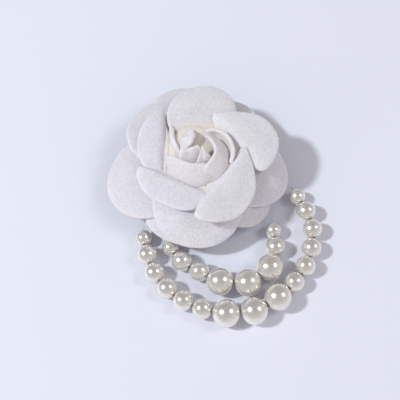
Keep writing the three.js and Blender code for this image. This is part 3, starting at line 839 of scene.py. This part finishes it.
class BROOCH_OT_core(bpy.types.Operator):
    """Makes the stuffed core that the petals are glued to"""
    bl_idname = "brooch.core"
    bl_label = "Core"

    def execute(self, context):
        settings = context.scene.brooch.cloth
        mesh = bpy.data.meshes.new("flower_core_pad")
        bm = bmesh.new()
        loops = []
        for i in range(1, CORE_ROWS):
            polar = math.pi * i / CORE_ROWS
            flat = abs(math.cos(polar)) ** CORE_FLATNESS * math.copysign(1, math.cos(polar))
            reach = CORE_RADIUS * abs(math.sin(polar)) ** CORE_SQUARENESS
            loop = []
            for k in range(CORE_SIDES):
                turn = 2 * math.pi * k / CORE_SIDES
                pleat = 1 - PLEAT_DEPTH * abs(math.sin(turn * CORE_PLEATS)) * math.sin(polar)
                swell = max(-flat, 0)
                spot = (reach * pleat * math.cos(turn) + CROWN_X * swell,
                        reach * pleat * math.sin(turn) + CROWN_Y * swell,
                        CORE_Z + CORE_HEIGHT / 2 * (1 - flat) + CORE_CROWN * swell)
                loop.append(bm.verts.new(core_point(spot)))
            loops.append(loop)
        foot = bm.verts.new(core_point((0, 0, CORE_Z)))
        crown = bm.verts.new(core_point((CROWN_X, CROWN_Y, CORE_Z + CORE_HEIGHT + CORE_CROWN)))
        for k in range(CORE_SIDES):
            n = (k + 1) % CORE_SIDES
            bm.faces.new((foot, loops[0][n], loops[0][k]))
            bm.faces.new((crown, loops[-1][k], loops[-1][n]))
            for lower, upper in zip(loops, loops[1:]):
                bm.faces.new((lower[k], lower[n], upper[n], upper[k]))
        bm.to_mesh(mesh)
        bm.free()
        mesh.shade_smooth()
        # The whole core is painted with the warm shade colour
        paint(mesh, "warm_shade", np.ones(len(mesh.vertices)))
        mesh.materials.append(cloth_material(settings))
        pad = put("flower_core_pad", mesh)
        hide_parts("flower_core")
        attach(pad, "flower")
        return {"FINISHED"}


class BROOCH_OT_felt(bpy.types.Operator):
    """Cuts the felt patch that closes the back, with a hole for each knot"""
    bl_idname = "brooch.felt"
    bl_label = "Felt patch"

    def execute(self, context):
        settings = context.scene.brooch.cloth
        curve = bpy.data.curves.new("felt_outline", "CURVE")
        curve.dimensions = "2D"
        curve.fill_mode = "BOTH"
        curve.extrude = (FELT_THICKNESS / 2 - FELT_EDGE) * MM
        curve.bevel_depth = FELT_EDGE * MM
        curve.bevel_resolution = 2
        holes = [-LONG_KNOT_X, -SHORT_KNOT_X, SHORT_KNOT_X, LONG_KNOT_X]
        rounds = [(0, 0, FELT_RADIUS - FELT_EDGE, FELT_STEPS, FELT_WAVE)]
        rounds += [(x, KNOT_Y, KNOT_REACH + FIT_GAP + FELT_EDGE, HOLE_STEPS, 0) for x in holes]
        for x, y, radius, steps, hand_cut in rounds:
            spline = curve.splines.new("POLY")
            spline.points.add(steps - 1)
            spline.use_cyclic_u = True
            for k, point in enumerate(spline.points):
                turn = 2 * math.pi * k / steps
                reach = radius * (1 + hand_cut * math.sin(turn * FELT_WAVES))
                spot = core_point((x + reach * math.cos(turn), y + reach * math.sin(turn), 0))
                point.co = (spot.x, spot.y, 0, 1)
        outline = put("felt_outline", curve)
        context.view_layer.update()
        solid = outline.evaluated_get(context.evaluated_depsgraph_get())
        mesh = bpy.data.meshes.new_from_object(solid)
        bpy.data.objects.remove(outline)
        for vertex in mesh.vertices:
            vertex.co.z += (FELT_Z + FELT_THICKNESS / 2) * MM
        mesh.materials.clear()
        mesh.materials.append(felt_material(settings))
        patch = put("felt_patch_pad", mesh)
        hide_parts("felt_patch")
        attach(patch, "flower")
        return {"FINISHED"}


# Swags


def pearl_names(swag):
    return [f"{swag}_pearl_{i + 1}" for i in range(len(SWAGS[swag]["sizes"]))]


def pearl_places(swag):
    """Middles of a swag's pearls, from the solids."""
    boxes = [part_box(name) for name in pearl_names(swag)]
    return [(low + high) / 2 for low, high in boxes]


def line_points(swag, pearls):
    """The bare route to the first pearl, the pearls and the spaces between them, and the bare route back."""
    route = [core_point(p) for p in SWAGS[swag]["route"]]
    spots = pearl_places(swag)
    radii = [getattr(pearls, size) for size in SWAGS[swag]["sizes"]]

    def bare(points, spot, radius):
        found = []
        for point in points:
            if (point - spot).length < radius * BARE_REACH:
                break
            found.append(point)
        return found

    start = bare(route, spots[0], radii[0])
    end = bare(route[::-1], spots[-1], radii[-1])[::-1]
    threaded = []
    for i, spot in enumerate(spots):
        threaded.append(spot)
        if i + 1 < len(spots):
            share = radii[i] / (radii[i] + radii[i + 1])
            threaded.append(spot.lerp(spots[i + 1], share))
    return start + threaded + end


def knot_mesh(name, spot, radius):
    """A pulled-tight overhand knot, as a tube round a trefoil path."""
    reach = KNOT_REACH * MM - radius
    path = []
    for k in range(KNOT_STEPS):
        turn = 2 * math.pi * k / KNOT_STEPS
        swing = (2 + math.cos(3 * turn)) / 3
        across, up = swing * math.cos(2 * turn), swing * math.sin(2 * turn)
        path.append(spot + reach * Vector((across, math.sin(3 * turn) * KNOT_FLATNESS, up)))
    points = []
    faces = []
    for k in range(KNOT_STEPS):
        run = (path[(k + 1) % KNOT_STEPS] - path[k - 1]).normalized()
        out = (path[k] - spot).cross(run).normalized()
        up = run.cross(out)
        for s in range(KNOT_SIDES):
            turn = 2 * math.pi * s / KNOT_SIDES
            points.append(path[k] + radius * (math.cos(turn) * out + math.sin(turn) * up))
            n, m = (k + 1) % KNOT_STEPS, (s + 1) % KNOT_SIDES
            here, ahead = k * KNOT_SIDES, n * KNOT_SIDES
            faces.append((here + s, here + m, ahead + m, ahead + s))
    return smooth_mesh(name, points, faces)


class BROOCH_OT_lines(bpy.types.Operator):
    """Runs a clear line from knot to knot for each swag"""
    bl_idname = "brooch.lines"
    bl_label = "Clear lines"

    def execute(self, context):
        brooch = context.scene.brooch
        finish = line_material(brooch.line)
        for swag in SWAGS:
            points = line_points(swag, brooch.pearls)
            curve = bpy.data.curves.new(swag + "_line_clear", "CURVE")
            curve.dimensions = "3D"
            curve.bevel_depth = brooch.line.radius
            curve.bevel_resolution = 3
            curve.use_fill_caps = True
            curve.resolution_u = 8
            spline = curve.splines.new("BEZIER")
            spline.bezier_points.add(len(points) - 1)
            for point, spot in zip(spline.bezier_points, points):
                point.co = spot
                point.handle_left_type = "AUTO"
                point.handle_right_type = "AUTO"
            curve.materials.append(finish)
            line = put(swag + "_line_clear", curve)
            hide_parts(swag + "_line")
            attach(line, swag)
            for number, spot in ((1, points[0]), (2, points[-1])):
                mesh = knot_mesh(f"{swag}_knot_{number}", spot, brooch.line.radius)
                mesh.materials.append(finish)
                knot = put(mesh.name, mesh)
                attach(knot, swag)
        return {"FINISHED"}


def pearl_mesh(name, radius, bore, finish):
    """A drilled ball with soft lips at the two ends of its hole."""
    lip = bore * LIP_SHARE
    start = math.asin((bore + lip) / radius)
    profile = []
    for i in range(PEARL_ROWS + 1):
        polar = start + (math.pi - 2 * start) * i / PEARL_ROWS
        profile.append((radius * math.sin(polar), -radius * math.cos(polar)))
    mouth = radius * math.cos(start)
    flare, drop = bore + lip * LIP_SHARE, lip * LIP_DROP
    profile += [(flare, mouth - drop), (bore, mouth - lip), (bore, lip - mouth), (flare, drop - mouth)]
    points, faces = spin(profile, PEARL_SIDES)
    mesh = smooth_mesh(name, points, faces)
    mesh.materials.append(finish)
    return mesh


class BROOCH_OT_pearls(bpy.types.Operator):
    """Threads the pearls on the two lines"""
    bl_idname = "brooch.pearls"
    bl_label = "Pearls"

    def execute(self, context):
        brooch = context.scene.brooch
        finish = pearl_material(brooch.pearls)
        meshes = {}
        for size in ("end", "side", "low"):
            radius = getattr(brooch.pearls, size)
            meshes[size] = pearl_mesh("pearl_" + size, radius, brooch.pearls.bore, finish)
        for swag, facts in SWAGS.items():
            spots = pearl_places(swag)
            for i, (node, size) in enumerate(zip(pearl_names(swag), facts["sizes"])):
                run = spots[min(i + 1, len(spots) - 1)] - spots[max(i - 1, 0)]
                bead = put(node + "_bead", meshes[size])
                bead.location = spots[i]
                bead.rotation_mode = "QUATERNION"
                bead.rotation_quaternion = run.to_track_quat("Z", "Y")
                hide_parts(node)
                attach(bead, swag)
        return {"FINISHED"}


# Bar pin


def soften_edges(obj, edge):
    """Rounds a solid's edges and shades its curved sides smooth, by modifiers alone."""
    bevel = obj.modifiers.new("Rounded edges", "BEVEL")
    bevel.width = edge
    bevel.segments = 2
    bevel.limit_method = "ANGLE"
    bevel.angle_limit = SHARP_ANGLE
    smooth = obj.modifiers.new("Smooth sides", "NODES")
    smooth.node_group = smooth_sides_group()


def smooth_sides_group():
    if "Smooth sides" in bpy.data.node_groups:
        return bpy.data.node_groups["Smooth sides"]
    made = bpy.data.node_groups.new("Smooth sides", "GeometryNodeTree")
    made.is_modifier = True
    made.interface.new_socket("Geometry", in_out="INPUT", socket_type="NodeSocketGeometry")
    made.interface.new_socket("Geometry", in_out="OUTPUT", socket_type="NodeSocketGeometry")
    t = Tree(made)
    given, out = t.add("NodeGroupInput"), t.add("NodeGroupOutput")
    faces = t.add("GeometryNodeSetShadeSmooth", domain="FACE")
    edges = t.add("GeometryNodeSetShadeSmooth", domain="EDGE")
    edges.inputs["Shade Smooth"].default_value = False
    angle = t.add("GeometryNodeInputMeshEdgeAngle")
    sharp = t.math("GREATER_THAN", angle.outputs["Unsigned Angle"], SHARP_ANGLE)
    t.join(given.outputs[0], faces.inputs["Geometry"])
    t.join(faces.outputs[0], edges.inputs["Geometry"])
    t.join(sharp, edges.inputs["Selection"])
    t.join(edges.outputs[0], out.inputs[0])
    return made


class BROOCH_OT_pin(bpy.types.Operator):
    """Finishes the bar, rivet, stem and catch of the pin in plated steel"""
    bl_idname = "brooch.pin"
    bl_label = "Bar pin"

    def execute(self, context):
        settings = context.scene.brooch.pin
        finish = steel_material(settings)
        for node in ("pin_bar", "hinge_rivet", "pin_stem", "catch_barrel"):
            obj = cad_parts[node]
            obj.data.materials.clear()
            obj.data.materials.append(finish)
            soften_edges(obj, settings.edge)
        return {"FINISHED"}


# Stage


def set_camera(scene, lens):
    """The camera, looking steeply down at the front of the brooch."""
    camera = bpy.data.cameras.new("camera")
    camera.lens = lens
    camera.sensor_width = SENSOR_WIDTH
    camera.clip_start = 0.01
    camera.clip_end = 10
    eye = put("camera", camera)
    eye.location = Vector(CAMERA_EYE) * MM
    eye.rotation_mode = "QUATERNION"
    eye.rotation_quaternion = (Vector(CAMERA_AIM) * MM - eye.location).to_track_quat("-Z", "Y")
    scene.camera = eye


def lay_floor(colour):
    """A plain pale floor just under the brooch."""
    reach = FLOOR_REACH * MM
    corners = [(-reach, -reach, 0), (reach, -reach, 0), (reach, reach, 0), (-reach, reach, 0)]
    mesh = smooth_mesh("floor", corners, [(0, 1, 2, 3)])
    made, t, shader, spot = material("Pale floor")
    drift = t.noise(spot, 0.02, detail=2.0)
    shade = rgba([c * 0.985 for c in colour])
    t.join(t.mix(drift, shade, rgba(colour)), shader.inputs["Base Color"])
    shader.inputs["Roughness"].default_value = 0.6
    shader.inputs["Specular IOR Level"].default_value = 0.3
    mesh.materials.append(made)
    floor = put("floor", mesh)
    floor.location.z = -FLOOR_DROP * MM


def hang_lamp(name, power, facts):
    """A round area lamp that faces the brooch."""
    light = bpy.data.lights.new(name, "AREA")
    light.shape = "DISK"
    light.size = facts["size"] * MM
    light.energy = power
    light.color = facts["colour"]
    obj = put(name, light)
    way = Vector(facts["direction"]).normalized()
    obj.location = (Vector(LAMP_AIM) + way * LAMP_DISTANCE) * MM
    obj.rotation_mode = "QUATERNION"
    obj.rotation_quaternion = way.to_track_quat("Z", "Y")


def light_all_round(scene, settings):
    """Soft light that fades upwards, stronger low at the left and from the front right."""
    world = bpy.data.worlds.new("soft_light")
    scene.world = world
    world.use_nodes = True
    w = Tree(world.node_tree)
    way = w.add("ShaderNodeTexCoord").outputs["Generated"]

    def towards(direction):
        node = w.add("ShaderNodeVectorMath", operation="DOT_PRODUCT")
        w.join(way, node.inputs[0])
        node.inputs[1].default_value = direction
        return node.outputs["Value"]

    part = w.add("ShaderNodeSeparateXYZ")
    w.join(way, part.inputs[0])
    height = w.spread(part.outputs["Z"], 0.0, 1.0, 0.0, 1.0)
    glow = w.math("POWER", w.math("MAXIMUM", towards(LOW_LEFT), 0.0), LOW_LEFT_FOCUS)
    soft = w.add("ShaderNodeVectorMath", operation="SCALE")
    w.join(w.mix(height, rgba(SKY_SOFT[0]), rgba(SKY_SOFT[1])), soft.inputs[0])
    w.join(w.math("ADD", w.math("MULTIPLY", glow, settings.left), 1.0), soft.inputs["Scale"])
    gloss = w.mix(height, rgba(SKY_GLOSS[0]), rgba(SKY_GLOSS[1]))
    path = w.add("ShaderNodeLightPath")
    back = world.node_tree.nodes["Background"]
    w.join(w.mix(path.outputs["Is Glossy Ray"], soft.outputs[0], gloss), back.inputs["Color"])
    front = w.spread(towards(FRONT_RIGHT), -1.0, 1.0, 1.0 - settings.front, 1.0 + settings.front)
    w.join(w.math("MULTIPLY", front, settings.sky), back.inputs["Strength"])


class BROOCH_OT_stage(bpy.types.Operator):
    """Sets the camera, the floor, the lamps and the soft light all round"""
    bl_idname = "brooch.stage"
    bl_label = "Stage"

    def execute(self, context):
        settings = context.scene.brooch.stage
        context.scene.view_settings.view_transform = "Standard"
        set_camera(context.scene, settings.lens)
        lay_floor(settings.floor)
        hang_lamp("key_lamp", settings.key, KEY_LAMP)
        hang_lamp("second_lamp", settings.second, SECOND_LAMP)
        light_all_round(context.scene, settings)
        return {"FINISHED"}


class BROOCH_PT_panel(bpy.types.Panel):
    """Lists the steps that build the brooch and its settings"""
    bl_idname = "BROOCH_PT_panel"
    bl_label = "Brooch"
    bl_space_type = "VIEW_3D"
    bl_region_type = "UI"
    bl_category = "Brooch"

    def draw(self, context):
        layout = self.layout
        for operator in STEPS:
            layout.operator(operator.bl_idname)
        brooch = context.scene.brooch
        for part in (brooch.cloth, brooch.pearls, brooch.line, brooch.pin, brooch.stage):
            box = layout.box()
            for name in part.bl_rna.properties.keys():
                if name not in ("rna_type", "name"):
                    box.prop(part, name)


STEPS = (
    BROOCH_OT_stage,
    BROOCH_OT_lines,
    BROOCH_OT_pearls,
    BROOCH_OT_core,
    BROOCH_OT_felt,
    BROOCH_OT_ring_petals,
    BROOCH_OT_bud_petals,
    BROOCH_OT_pin,
)
SETTINGS = (BroochCloth, BroochPearls, BroochLine, BroochPin, BroochStage, BroochSettings)
CLASSES = (*SETTINGS, *STEPS, BROOCH_PT_panel)


def register():
    for cls in CLASSES:
        bpy.utils.register_class(cls)
    bpy.types.Scene.brooch = PointerProperty(type=BroochSettings)


def unregister():
    del bpy.types.Scene.brooch
    for cls in reversed(CLASSES):
        bpy.utils.unregister_class(cls)


def main():
    register()
    bpy.ops.brooch.stage()
    bpy.ops.brooch.lines()
    bpy.ops.brooch.pearls()
    bpy.ops.brooch.core()
    bpy.ops.brooch.felt()
    bpy.ops.brooch.ring_petals()
    bpy.ops.brooch.bud_petals()
    bpy.ops.brooch.pin()


if __name__ == "__main__":
    main()
